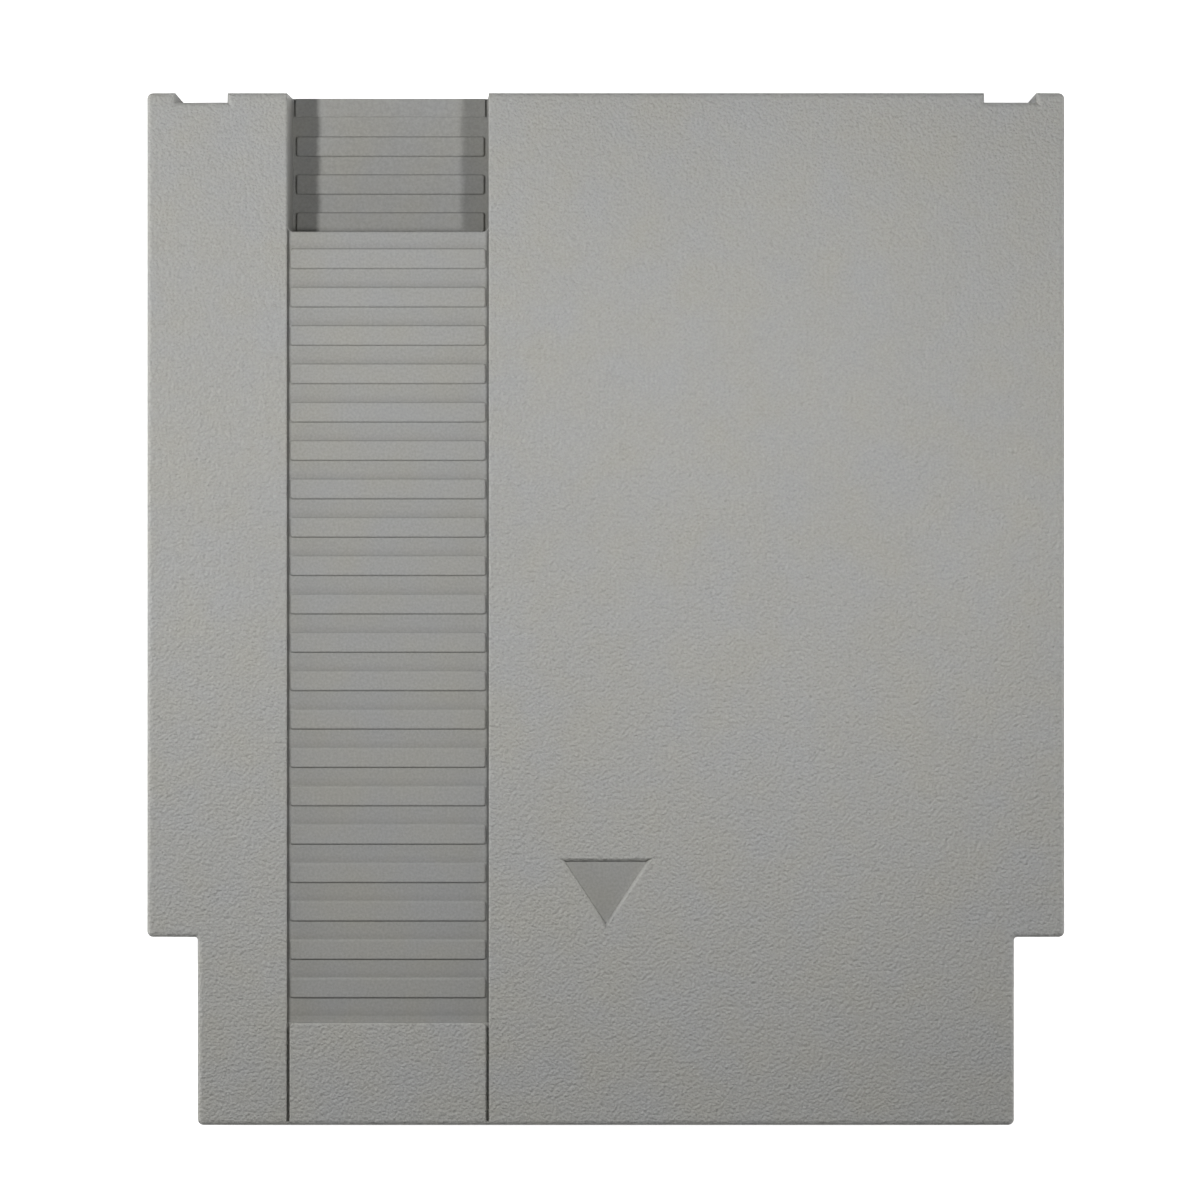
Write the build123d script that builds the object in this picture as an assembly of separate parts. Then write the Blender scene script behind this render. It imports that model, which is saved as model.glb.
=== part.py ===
from build123d import *
from math import radians, tan
import os

# A plug-in game cartridge: two moulded shells around a small circuit board, held by three screws.
# It lies on its rear face. X runs to the right and Y to the top edge, as seen from the front,
# and Z comes out of the front face. The origin is the centre of the rear face. Lengths are in mm.

# Case
CASE_WIDTH = 120.0
CASE_HEIGHT = 135.0
SHOULDER_WIDTH = 6.6
NECK_HEIGHT = 24.6
REAR_DEPTH = 8.5
WALL = 2.0
CORNER_RADIUS = 0.75
ROOT_RADIUS = 0.4
FACE_FILLET = 0.7
SEAM_CHAMFER = 0.2

# Lip of the front shell that sits inside the rear shell's edge
LIP_SKIN = 1.0
LIP_HEIGHT = 1.0
LIP_CLEARANCE = 0.1

# Ribbed grip strip, on both faces
LEFT_BAND = 18.3
STRIP_WIDTH = 26.4
STRIP_DEPTH = 0.7
STRIP_WALL = 2.25
STRIP_FILLET = 0.25
STRIP_END = 0.5
RIB_PITCH = 5.02
RIB_BAND = 2.75
RIB_RISE = 0.35
RIB_DRAFT = 25.0
RIB_CORNER = 0.4
RIB_FILLET = 0.2
RIB_SIDE_GAP = 0.35
RIB_END_GAP = 2.2
PANEL_HEIGHT = 13.4
PANEL_CORNER = 0.6

# Finger recess at the top of the front strip
RECESS_HEIGHT = 18.1
RECESS_FLOOR_WALL = 1.5
RECESS_SIDE_WALL = 1.6
RECESS_CORNER = 0.8
RECESS_DRAFT = 3.0
RECESS_RIB_LIFT = 0.3
SILL_BAND = 2.4

# Insertion arrow sunk in the front face
ARROW_WIDTH = 12.2
ARROW_HEIGHT = 9.2
ARROW_RISE = 34.9
ARROW_DEPTH = 0.65
ARROW_DRAFT = 15.0
ARROW_FLARE = 0.3
ARROW_FLARE_ANGLE = 45.0

# Notches in the top edge, and the hooks behind them
NOTCH_INSET = 7.1
NOTCH_WIDTH = 6.8
NOTCH_DEPTH = 1.25
HOOK_WIDTH = 4.0
HOOK_THICKNESS = 1.2
HOOK_REACH = 3.2
HOOK_ROOT = 3.5
HOOK_CLEARANCE = 0.2
BARB_DEPTH = 0.8
BARB_HEIGHT = 1.2

# Mouth at the bottom edge
MOUTH_SIDE_ROOM = 2.1
MOUTH_LIP = 1.0
MOUTH_LIP_LENGTH = 3.0

# Circuit board
BOARD_THICKNESS = 1.2
BOARD_HEIGHT = 60.0
BOARD_INSET = 5.0
BOARD_SIDE_GAP = 1.4
BOARD_BEVEL = 0.35
BOARD_CLEARANCE = 0.25
TONGUE_STEP = 3.1
TONGUE_HEIGHT = 14.0
CONTACT_PITCH = 2.5
CONTACT_WIDTH = 1.7
CONTACT_LENGTH = 11.0
CONTACT_THICKNESS = 0.05
CONTACT_EDGE = 0.6
CONTACT_MARGIN = 1.9
RAIL_WIDTH = 1.6
RAIL_INSET = 2.4
RAIL_LENGTH = 22.0
RAIL_TOP_GAP = 4.0
PAD_LENGTH = 5.0
PAD_MARGIN = 1.0

# Screws and the bosses they pull together
BOSS_INSET = 12.0
BOSS_RISE = 6.9
MIDDLE_BOSS_RISE = 10.5
FRONT_BOSS_DIAMETER = 7.2
REAR_BOSS_DIAMETER = 9.6
BOSS_DROP = 0.9
SEAT_WALL = 2.0
WELL_DIAMETER = 6.6
SHANK_DIAMETER = 2.5
SHANK_LENGTH = 8.5
SHANK_CLEARANCE = 0.05
PASSAGE_CLEARANCE = 0.45
PILOT_SPARE = 0.5
HEAD_DIAMETER = 4.6
HEAD_HEIGHT = 2.1
FLANGE_DIAMETER = 5.6
FLANGE_HEIGHT = 0.6
LOBE_COUNT = 6
LOBE_RADIUS = 0.6

# Chips in dual in-line packages
CHIP_HEIGHT = 3.8
CHIP_STANDOFF = 0.5
CHIP_CLEARANCE = 0.65
CHIP_DRAFT = 7.0
CHIP_NOTCH = 1.2
CHIP_NOTCH_DEPTH = 0.6
LEAD_PITCH = 2.54
LEAD_THICKNESS = 0.28
LEAD_SHOULDER = 1.3
LEAD_WIDTH = 0.5
LEAD_BEND = 0.25
LEAD_TAIL = 1.4
ROM_PINS = 28
ROM_LENGTH = 36.8
ROM_WIDTH = 13.6
ROM_ROW = 15.24
ROM_OFFSET = 25.0
ROM_RISE = 34.5
LOCKOUT_PINS = 16
LOCKOUT_LENGTH = 19.4
LOCKOUT_WIDTH = 6.4
LOCKOUT_ROW = 7.62
LOCKOUT_RISE = 29.5

# Capacitors
CAN_DIAMETER = 4.0
CAN_LENGTH = 7.0
CAN_CRIMP = 0.25
CAN_CRIMP_PLACE = 1.5
CAN_FILLET = 0.3
CAN_DROP = 9.5
CAN_GAP = 0.1
SLEEVE_THICKNESS = 0.12
SLEEVE_OPENING = 2.8
BUNG_DIAMETER = 3.3
BUNG_HEIGHT = 0.9
CAN_LEAD_PITCH = 2.0
CAN_LEAD_REACH = 1.8
CAN_LEAD_BEND = 0.8
WIRE_DIAMETER = 0.5
BYPASS_WIDTH = 5.0
BYPASS_HEIGHT = 3.4
BYPASS_THICKNESS = 2.4
BYPASS_FILLET = 0.9
BYPASS_STANDOFF = 1.0
BYPASS_LEAD_PITCH = 2.54
BYPASS_OFFSET = 10.6
BYPASS_RISE = 45.0

# Solder and the holes it fills
HOLE_DIAMETER = 0.9
SOLDER_DIAMETER = 1.7
SOLDER_TIP_DIAMETER = 0.8
SOLDER_HEIGHT = 1.0

# Places closer than this are the same place
TOUCH = 0.001

# Places worked out from the sizes above
TOP_Y = CASE_HEIGHT / 2
BOTTOM_Y = -CASE_HEIGHT / 2
SHOULDER_Y = BOTTOM_Y + NECK_HEIGHT
NECK_WIDTH = CASE_WIDTH - 2 * SHOULDER_WIDTH
PARTING_Z = REAR_DEPTH
BOARD_FRONT_Z = PARTING_Z + BOARD_THICKNESS / 2
BOARD_REAR_Z = PARTING_Z - BOARD_THICKNESS / 2
CHIP_TOP_Z = BOARD_FRONT_Z + CHIP_STANDOFF + CHIP_HEIGHT
FRONT_Z = CHIP_TOP_Z + CHIP_CLEARANCE + STRIP_WALL + STRIP_DEPTH
FRONT_INSIDE_Z = FRONT_Z - WALL
STRIP_LEFT = -CASE_WIDTH / 2 + LEFT_BAND
STRIP_RIGHT = STRIP_LEFT + STRIP_WIDTH
STRIP_X = STRIP_LEFT + STRIP_WIDTH / 2
STRIP_BOTTOM = BOTTOM_Y + STRIP_END
PANEL_TOP = BOTTOM_Y + PANEL_HEIGHT
RECESS_BOTTOM = TOP_Y - RECESS_HEIGHT
RECESS_FLOOR_Z = PARTING_Z + RECESS_FLOOR_WALL
STRIP_FLOOR_Z = FRONT_Z - STRIP_DEPTH
RECESS_DRAW = (STRIP_FLOOR_Z - RECESS_FLOOR_Z) * tan(radians(RECESS_DRAFT))
FIRST_RIB_Y = RECESS_BOTTOM - RIB_END_GAP - RIB_BAND / 2
RIB_WIDTH = STRIP_WIDTH - 2 * RIB_SIDE_GAP
NOTCH_X = CASE_WIDTH / 2 - NOTCH_INSET
NOTCH_INSIDE_Y = TOP_Y - NOTCH_DEPTH - WALL
HOOK_TOP_Z = PARTING_Z + HOOK_REACH
BOARD_WIDTH = NECK_WIDTH - 2 * WALL - 2 * BOARD_SIDE_GAP
BOARD_BOTTOM = BOTTOM_Y + BOARD_INSET
BOARD_TOP = BOARD_BOTTOM + BOARD_HEIGHT
TONGUE_WIDTH = BOARD_WIDTH - 2 * TONGUE_STEP
TONGUE_TOP = BOARD_BOTTOM + TONGUE_HEIGHT
MOUTH_WIDTH = TONGUE_WIDTH + 2 * MOUTH_SIDE_ROOM
MOUTH_FRONT_Z = FRONT_INSIDE_Z - MOUTH_LIP
MOUTH_REAR_Z = WALL + MOUTH_LIP
CONTACT_COUNT = int((TONGUE_WIDTH - 2 * CONTACT_MARGIN) / CONTACT_PITCH + TOUCH)
RAIL_X = BOARD_WIDTH / 2 - RAIL_INSET
BOSS_MEET_Z = BOARD_REAR_Z - BOSS_DROP
SEAT_Z = BOSS_MEET_Z - SEAT_WALL
SIDE_BOSS_X = CASE_WIDTH / 2 - BOSS_INSET
SIDE_BOSS_Y = SHOULDER_Y + BOSS_RISE
BOSS_PLACES = [
    (-SIDE_BOSS_X, SIDE_BOSS_Y),
    (SIDE_BOSS_X, SIDE_BOSS_Y),
    (0.0, BOARD_TOP + MIDDLE_BOSS_RISE),
]
PILOT_DIAMETER = SHANK_DIAMETER + 2 * SHANK_CLEARANCE
PASSAGE_DIAMETER = SHANK_DIAMETER + 2 * PASSAGE_CLEARANCE
LEAD_END_Z = BOARD_REAR_Z - LEAD_TAIL
ROM_Y = BOARD_BOTTOM + ROM_RISE
LOCKOUT_Y = BOARD_BOTTOM + LOCKOUT_RISE
CAN_Y = BOARD_TOP - CAN_DROP
CAN_Z = BOARD_FRONT_Z + CAN_GAP + CAN_DIAMETER / 2 + SLEEVE_THICKNESS
BYPASS_Y = BOARD_BOTTOM + BYPASS_RISE


def block(x_span, y_span, z_span):
    """A box between the two ends of each span."""
    spans = (x_span, y_span, z_span)
    middle = [(low + high) / 2 for low, high in spans]
    return Pos(*middle) * Box(*[high - low for low, high in spans])


def rod(diameter, x, y, z_low, z_high):
    """An upright cylinder."""
    return Pos(x, y, (z_low + z_high) / 2) * Cylinder(diameter / 2, z_high - z_low)


def outline(inset=0.0):
    """The case seen from the front, moved in by inset."""
    body = CASE_WIDTH / 2 - inset
    neck = NECK_WIDTH / 2 - inset
    shoulder = SHOULDER_Y + inset
    right = [(neck, BOTTOM_Y + inset), (neck, shoulder), (body, shoulder), (body, TOP_Y - inset)]
    left = [(-x, y) for x, y in reversed(right)]
    shape = make_face(Polyline(*right, *left, close=True))

    def is_root(corner):
        return abs(abs(corner.X) - neck) < TOUCH and abs(corner.Y - shoulder) < TOUCH

    shape = fillet([corner for corner in shape.vertices() if not is_root(corner)], CORNER_RADIUS)
    return fillet([corner for corner in shape.vertices() if is_root(corner)], ROOT_RADIUS)


def strip_cut(strip_top):
    """The strip's channel in a face at z = 0, with rounded edges along both sides."""
    section = Pos(0, -STRIP_DEPTH / 2) * Rectangle(STRIP_WIDTH, STRIP_DEPTH)
    section += Rectangle(STRIP_WIDTH + 2 * STRIP_FILLET, 2 * STRIP_FILLET)
    for side in (-1, 1):
        section -= Pos(side * (STRIP_WIDTH / 2 + STRIP_FILLET), -STRIP_FILLET) * Circle(STRIP_FILLET)
    return Pos(STRIP_X, strip_top) * extrude(Plane.XZ * section, strip_top - STRIP_BOTTOM)


def lower_panel():
    """The plain panel at the strip's lower end, level with a face at z = 0, longer than the case."""
    plan = Pos(STRIP_X, PANEL_TOP - PANEL_HEIGHT) * Rectangle(RIB_WIDTH, 2 * PANEL_HEIGHT)
    plan = fillet(plan.vertices().group_by(Axis.Y)[-1], PANEL_CORNER)
    panel = extrude(plan, -STRIP_DEPTH)
    return fillet(panel.faces().sort_by(Axis.Z)[-1].edges(), STRIP_FILLET)


def grip_rib(width):
    """One rib of the strip, standing on z = 0."""
    foot = Rectangle(width, RIB_BAND)
    rib = extrude(fillet(foot.vertices(), RIB_CORNER), RIB_RISE, taper=RIB_DRAFT)
    return fillet(rib.faces().sort_by(Axis.Z)[-1].edges(), RIB_FILLET)


def rib_rows(highest_end):
    """Heights of the strip's ribs, from the lowest to the last whose foot ends below highest_end."""
    room = FIRST_RIB_Y - RIB_BAND / 2 - RIB_END_GAP - PANEL_TOP
    row = FIRST_RIB_Y - int(room / RIB_PITCH) * RIB_PITCH
    rows = []
    while row + RIB_BAND / 2 <= highest_end:
        rows.append(row)
        row += RIB_PITCH
    return rows


def notches():
    """What both shells lose at the notches in the top edge."""
    cut = Part()
    for side in (-1, 1):
        cut += Pos(side * NOTCH_X, TOP_Y) * Box(NOTCH_WIDTH, 2 * NOTCH_DEPTH, 4 * FRONT_Z)
    return cut


def notch_backing(z_span):
    """The wall behind each notch."""
    reach = NOTCH_WIDTH / 2 + WALL
    backing = Part()
    for side in (-1, 1):
        x = side * NOTCH_X
        backing += block((x - reach, x + reach), (NOTCH_INSIDE_Y, TOP_Y), z_span)
    return backing


def board_rests(z_span):
    """Rails and pads along both sides that hold the board."""
    rail_top = BOARD_TOP - RAIL_TOP_GAP
    pad_bottom = TONGUE_TOP + PAD_MARGIN
    rests = Part()
    for side in (-1, 1):
        x_span = (side * RAIL_X - RAIL_WIDTH / 2, side * RAIL_X + RAIL_WIDTH / 2)
        rests += block(x_span, (rail_top - RAIL_LENGTH, rail_top), z_span)
        rests += block(x_span, (pad_bottom, pad_bottom + PAD_LENGTH), z_span)
    return rests


def mouth_cut(z_span):
    """The opening in the bottom wall that the card edge is reached through."""
    return block((-MOUTH_WIDTH / 2, MOUTH_WIDTH / 2), (BOTTOM_Y - WALL, BOTTOM_Y + 2 * WALL), z_span)


def mouth_lip(z_span):
    """The thicker edge of a face at the mouth."""
    return block((-NECK_WIDTH / 2, NECK_WIDTH / 2), (BOTTOM_Y, BOTTOM_Y + MOUTH_LIP_LENGTH), z_span)


def seam_lip(clearance):
    """The ring below the parting plane, open at the mouth and at the hooks."""
    ring = outline(LIP_SKIN + LIP_CLEARANCE - clearance) - outline(WALL)
    depth = LIP_HEIGHT + clearance
    lip = Pos(0, 0, PARTING_Z) * extrude(ring, -depth)
    below = (PARTING_Z - 2 * depth, PARTING_Z + depth)
    reach = NOTCH_WIDTH / 2 + WALL + LIP_CLEARANCE - clearance
    lip -= mouth_cut(below)
    for side in (-1, 1):
        x = side * NOTCH_X
        lip -= block((x - reach, x + reach), (NOTCH_INSIDE_Y, TOP_Y), below)
    return lip


def hook_cut(side):
    """The window in the front shell that a hook's barb catches."""
    half = HOOK_WIDTH / 2 + HOOK_CLEARANCE
    x = side * NOTCH_X
    z_span = (HOOK_TOP_Z - BARB_HEIGHT - HOOK_CLEARANCE, HOOK_TOP_Z + HOOK_CLEARANCE)
    return block((x - half, x + half), (NOTCH_INSIDE_Y - WALL, TOP_Y), z_span)


def hook(side):
    """A springy tongue of the rear shell with a barb at its end."""
    face = NOTCH_INSIDE_Y - HOOK_CLEARANCE
    back = face - HOOK_THICKNESS
    root_z = PARTING_Z - HOOK_ROOT
    side_view = [
        (NOTCH_INSIDE_Y, root_z),
        (NOTCH_INSIDE_Y, PARTING_Z),
        (face, PARTING_Z),
        (face, HOOK_TOP_Z - BARB_HEIGHT),
        (face + BARB_DEPTH, HOOK_TOP_Z - BARB_HEIGHT),
        (face, HOOK_TOP_Z),
        (back, HOOK_TOP_Z),
        (back, root_z + HOOK_THICKNESS),
    ]
    profile = Plane.YZ * make_face(Polyline(*side_view, close=True))
    return Pos(side * NOTCH_X - HOOK_WIDTH / 2) * extrude(profile, HOOK_WIDTH)


def case_block(depth):
    """One shell's outside below a face at z = 0: rounded at the face, eased at the parting plane."""
    solid = extrude(outline(), -depth) - notches()
    solid = chamfer(solid.faces().sort_by(Axis.Z)[0].edges(), SEAM_CHAMFER)
    return fillet(solid.faces().sort_by(Axis.Z)[-1].edges(), FACE_FILLET)


def strip_block(depth, strip_top):
    """One shell's outside below a face at z = 0, with the strip's channel and lower panel."""
    solid = case_block(depth)
    return solid - strip_cut(strip_top) + (lower_panel() & solid)


def recess_mouth():
    """The top of the finger recess, below the strip's floor at z = 0, with its rounded lower ledge."""
    reach = RECESS_CORNER + STRIP_FILLET
    z_span = (-STRIP_FILLET, STRIP_FILLET)
    section = Pos(reach / 2) * Rectangle(reach, 2 * STRIP_FILLET)
    section -= Pos(reach, -STRIP_FILLET) * Circle(STRIP_FILLET)
    middle_x = STRIP_WIDTH / 2 - RECESS_CORNER
    middle_y = RECESS_CORNER - RECESS_HEIGHT
    across = Plane((middle_x, middle_y, 0), x_dir=(0, -1, 0), z_dir=(-1, 0, 0))
    mouth = extrude(across * section, 2 * middle_x)
    mouth += block((-STRIP_WIDTH / 2, STRIP_WIDTH / 2), (middle_y, RECESS_HEIGHT), z_span)
    corner = Rot(0, 0, -90) * revolve(Plane.XZ * section, Axis.Z, 90)
    corner = Pos(middle_x, middle_y) * (corner & block((0, RECESS_CORNER), (-reach, 0), z_span))
    return mouth + corner + mirror(corner, Plane.YZ)


def finger_recess():
    """The pocket below the strip's floor: upright at its ledge, drafted below, open at the top edge."""
    plan = fillet(Rectangle(STRIP_WIDTH, 2 * RECESS_HEIGHT).vertices(), RECESS_CORNER)
    drawn = STRIP_FLOOR_Z - RECESS_FLOOR_Z - STRIP_FILLET
    pocket = recess_mouth() + Pos(0, 0, -STRIP_FILLET) * extrude(plan, -drawn, taper=RECESS_DRAFT)
    return Pos(STRIP_X, TOP_Y, STRIP_FLOOR_Z) * pocket


def add_ribs(solid, rows, width, floor_z):
    """Stands a rib on the strip's floor at each row."""
    rib = grip_rib(width)
    for row in rows:
        solid += Pos(STRIP_X, row, floor_z) * rib
    return solid


def arrow_cut():
    """The sunk triangle that points into the console, flared at its rim."""
    top = BOTTOM_Y + ARROW_RISE
    points = [(-ARROW_WIDTH / 2, top), (0, top - ARROW_HEIGHT), (ARROW_WIDTH / 2, top)]
    triangle = make_face(Polyline(*points, close=True))
    flare = extrude(triangle, -ARROW_FLARE, taper=ARROW_FLARE_ANGLE)
    throat = flare.faces().sort_by(Axis.Z)[0]
    pocket = extrude(throat, ARROW_DEPTH - ARROW_FLARE, taper=ARROW_DRAFT)
    return Pos(0, 0, FRONT_Z) * (flare + pocket)


def front_face():
    """The front shell as a solid block with its outside finished."""
    solid = Pos(0, 0, FRONT_Z) * strip_block(FRONT_Z - PARTING_Z, TOP_Y + FACE_FILLET)
    solid -= finger_recess()
    solid = add_ribs(solid, rib_rows(RECESS_BOTTOM), RIB_WIDTH, STRIP_FLOOR_Z)

    sill_y = TOP_Y - SILL_BAND
    sunk_width = RIB_WIDTH - 2 * RECESS_DRAW
    sunk_rows = [row + RECESS_RIB_LIFT for row in rib_rows(sill_y) if row > RECESS_BOTTOM]
    solid = add_ribs(solid, sunk_rows, sunk_width, RECESS_FLOOR_Z)
    sill_x = (STRIP_X - sunk_width / 2, STRIP_X + sunk_width / 2)
    solid += block(sill_x, (sill_y, TOP_Y), (RECESS_FLOOR_Z, RECESS_FLOOR_Z + RIB_RISE))

    return solid - arrow_cut()


def front_shell():
    """Front half: the face with its strip, recess and arrow, and what it carries inside."""
    inside = Pos(0, 0, PARTING_Z) * extrude(outline(WALL), FRONT_INSIDE_Z - PARTING_Z)
    z_span = (PARTING_Z, FRONT_INSIDE_Z)
    strip_back_z = FRONT_Z - STRIP_DEPTH - STRIP_WALL
    strip_x = (STRIP_LEFT - WALL, STRIP_RIGHT + WALL)
    recess_x = (STRIP_LEFT - RECESS_SIDE_WALL, STRIP_RIGHT + RECESS_SIDE_WALL)
    inside -= block(strip_x, (BOTTOM_Y, RECESS_BOTTOM), (strip_back_z, FRONT_INSIDE_Z))
    inside -= block(recess_x, (RECESS_BOTTOM - RECESS_SIDE_WALL, TOP_Y), z_span)
    inside -= notch_backing(z_span)
    inside -= board_rests((BOARD_FRONT_Z, FRONT_INSIDE_Z))
    inside -= mouth_lip((MOUTH_FRONT_Z, FRONT_INSIDE_Z))

    shell = front_face() - inside - mouth_cut((PARTING_Z, MOUTH_FRONT_Z)) + seam_lip(0)
    for x, y in BOSS_PLACES:
        shell += rod(FRONT_BOSS_DIAMETER, x, y, BOSS_MEET_Z, FRONT_INSIDE_Z)
        shell -= rod(PILOT_DIAMETER, x, y, BOSS_MEET_Z, SEAT_Z + SHANK_LENGTH + PILOT_SPARE)
    for side in (-1, 1):
        shell -= hook_cut(side)
    return shell


def rear_face():
    """The rear shell as a solid block with its outside finished."""
    strip_top = TOP_Y - STRIP_END
    solid = strip_block(PARTING_Z, strip_top)
    solid = add_ribs(solid, rib_rows(strip_top - RIB_SIDE_GAP), RIB_WIDTH, -STRIP_DEPTH)
    return mirror(solid, Plane.XY)


def rear_shell():
    """Rear half: the ribbed back with the screw wells, the board's rests and the hooks."""
    inside = Pos(0, 0, WALL) * extrude(outline(WALL), PARTING_Z - WALL)
    strip_x = (STRIP_LEFT - WALL, STRIP_RIGHT + WALL)
    inside -= block(strip_x, (BOTTOM_Y, TOP_Y), (WALL, STRIP_DEPTH + STRIP_WALL))
    inside -= notch_backing((WALL, PARTING_Z))
    inside -= board_rests((WALL, BOARD_REAR_Z))
    inside -= mouth_lip((WALL, MOUTH_REAR_Z))

    shell = rear_face() - inside - mouth_cut((MOUTH_REAR_Z, PARTING_Z)) - seam_lip(LIP_CLEARANCE)
    for x, y in BOSS_PLACES:
        shell += rod(REAR_BOSS_DIAMETER, x, y, WALL, BOSS_MEET_Z)
        shell -= rod(WELL_DIAMETER, x, y, 0, SEAT_Z)
        shell -= rod(PASSAGE_DIAMETER, x, y, SEAT_Z, BOSS_MEET_Z)
    for side in (-1, 1):
        shell += hook(side)
    return shell


def case_screw():
    """A screw with a lobed head, standing on its head's seat at z = 0."""
    head = rod(FLANGE_DIAMETER, 0, 0, -FLANGE_HEIGHT, 0)
    head += rod(HEAD_DIAMETER, 0, 0, -FLANGE_HEIGHT - HEAD_HEIGHT, -FLANGE_HEIGHT)
    for place in PolarLocations(HEAD_DIAMETER / 2 + LOBE_RADIUS / 2, LOBE_COUNT):
        flute = rod(2 * LOBE_RADIUS, 0, 0, -FLANGE_HEIGHT - HEAD_HEIGHT, -FLANGE_HEIGHT)
        head -= place * flute
    tip = Pos(0, 0, SHANK_LENGTH - SHANK_DIAMETER / 4)
    shank = rod(SHANK_DIAMETER, 0, 0, 0, SHANK_LENGTH - SHANK_DIAMETER / 2)
    return head + shank + tip * Cone(SHANK_DIAMETER / 2, SHANK_DIAMETER / 4, SHANK_DIAMETER / 2)


def chip_leads(pins, row):
    """Where a chip's leads go through the board, as offsets from the chip's middle."""
    first = (pins / 2 - 1) * LEAD_PITCH / 2
    steps = range(pins // 2)
    return [(side * row / 2, first - step * LEAD_PITCH) for side in (-1, 1) for step in steps]


def chip_body(length, width):
    """A moulded package with its middle at z = 0, and a half-round notch at its upper end."""
    half = (CHIP_HEIGHT - LEAD_THICKNESS) / 2
    waist = Rectangle(width, length)
    body = extrude(waist, LEAD_THICKNESS / 2, both=True)
    body += Pos(0, 0, LEAD_THICKNESS / 2) * extrude(waist, half, taper=CHIP_DRAFT)
    body += Pos(0, 0, -LEAD_THICKNESS / 2) * extrude(waist, -half, taper=CHIP_DRAFT)
    top = CHIP_HEIGHT / 2
    return body - rod(2 * CHIP_NOTCH, 0, length / 2, top - CHIP_NOTCH_DEPTH, top + CHIP_NOTCH_DEPTH)


def chip_pin(width, row, waist_z):
    """One bent lead of the right-hand row, with the board's rear face at z = 0."""
    outer = row / 2 + LEAD_THICKNESS / 2
    inner = outer - LEAD_THICKNESS
    top = waist_z + LEAD_THICKNESS / 2
    low = waist_z - LEAD_THICKNESS / 2
    points = [(width / 2, low), (width / 2, top), (outer, top), (outer, BOARD_THICKNESS)]
    points += [(inner, BOARD_THICKNESS), (inner, low)]
    shoulder = Plane.XZ * make_face(Polyline(*points, close=True))
    pin = Pos(0, LEAD_SHOULDER / 2) * extrude(shoulder, LEAD_SHOULDER)
    bend = pin.edges().filter_by(Axis.Y).sort_by(lambda edge: edge.center().X + edge.center().Z)[-1]
    pin = fillet(bend, LEAD_BEND)
    half = LEAD_WIDTH / 2
    return pin + block((inner, outer), (-half, half), (-LEAD_TAIL, BOARD_THICKNESS))


def chip(name, x, y, pins, length, width, row):
    """A chip's body and its pins, with the places of its leads."""
    waist_z = CHIP_STANDOFF + CHIP_HEIGHT / 2
    body = Pos(x, y, BOARD_FRONT_Z + waist_z) * chip_body(length, width)
    right_pin = chip_pin(width, row, BOARD_THICKNESS + waist_z)
    left_pin = mirror(right_pin, Plane.YZ)
    solids = []
    places = []
    for lead_x, lead_y in chip_leads(pins, row):
        pin = right_pin if lead_x > 0 else left_pin
        solids.append(Pos(x, y + lead_y, BOARD_REAR_Z) * pin)
        places.append((x + lead_x, y + lead_y))
    return {name + "_body": [body], name + "_pins": solids}, places


def electrolytic():
    """A small can capacitor lying along X with its leads bent down, and the places of its leads."""
    radius = CAN_DIAMETER / 2
    middle = CAN_LENGTH / 2
    can = Cylinder(radius, CAN_LENGTH)
    can = fillet(can.edges().filter_by(GeomType.CIRCLE), CAN_FILLET)
    can -= rod(BUNG_DIAMETER, 0, 0, middle - BUNG_HEIGHT, middle)
    can -= Pos(0, 0, middle - CAN_CRIMP_PLACE) * Torus(radius, CAN_CRIMP)
    bung = rod(BUNG_DIAMETER, 0, 0, middle - BUNG_HEIGHT, middle)

    outside = CAN_DIAMETER + 2 * SLEEVE_THICKNESS
    sleeve = rod(outside, 0, 0, -middle - SLEEVE_THICKNESS, middle - CAN_FILLET)
    sleeve -= rod(CAN_DIAMETER, 0, 0, -middle, middle)
    sleeve -= rod(SLEEVE_OPENING, 0, 0, -middle - SLEEVE_THICKNESS, middle)

    lie = Pos(0, CAN_Y, CAN_Z) * Rot(0, 90, 0)
    lead_x = middle + CAN_LEAD_REACH
    leads = []
    places = []
    for side in (-1, 1):
        y = CAN_Y + side * CAN_LEAD_PITCH / 2
        route = [(middle, y, CAN_Z), (lead_x, y, CAN_Z), (lead_x, y, LEAD_END_Z)]
        section = Plane(route[0], z_dir=(1, 0, 0)) * Circle(WIRE_DIAMETER / 2)
        leads.append(sweep(section, FilletPolyline(*route, radius=CAN_LEAD_BEND)))
        places.append((lead_x, y))
    nodes = {
        "electrolytic_can": [lie * can],
        "electrolytic_sleeve": [lie * sleeve],
        "electrolytic_bung": [lie * bung],
        "electrolytic_leads": leads,
    }
    return nodes, places


def bypass_capacitor(name, x):
    """A dipped ceramic capacitor standing on two wires, and the places of its leads."""
    foot_z = BOARD_FRONT_Z + BYPASS_STANDOFF
    body = Box(BYPASS_THICKNESS, BYPASS_WIDTH, BYPASS_HEIGHT)
    body = Pos(x, BYPASS_Y, foot_z + BYPASS_HEIGHT / 2) * fillet(body.edges(), BYPASS_FILLET)
    places = [(x, BYPASS_Y + side * BYPASS_LEAD_PITCH / 2) for side in (-1, 1)]
    leads = [rod(WIRE_DIAMETER, *place, LEAD_END_Z, foot_z) for place in places]
    return {name: [body], name + "_leads": leads}, places


def solder_cone(lead):
    """A solder joint hanging from z = 0 around a lead of the given section."""
    cone = Pos(0, 0, -SOLDER_HEIGHT / 2) * Cone(SOLDER_TIP_DIAMETER / 2, SOLDER_DIAMETER / 2, SOLDER_HEIGHT)
    return cone - extrude(lead, SOLDER_HEIGHT, both=True)


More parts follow.
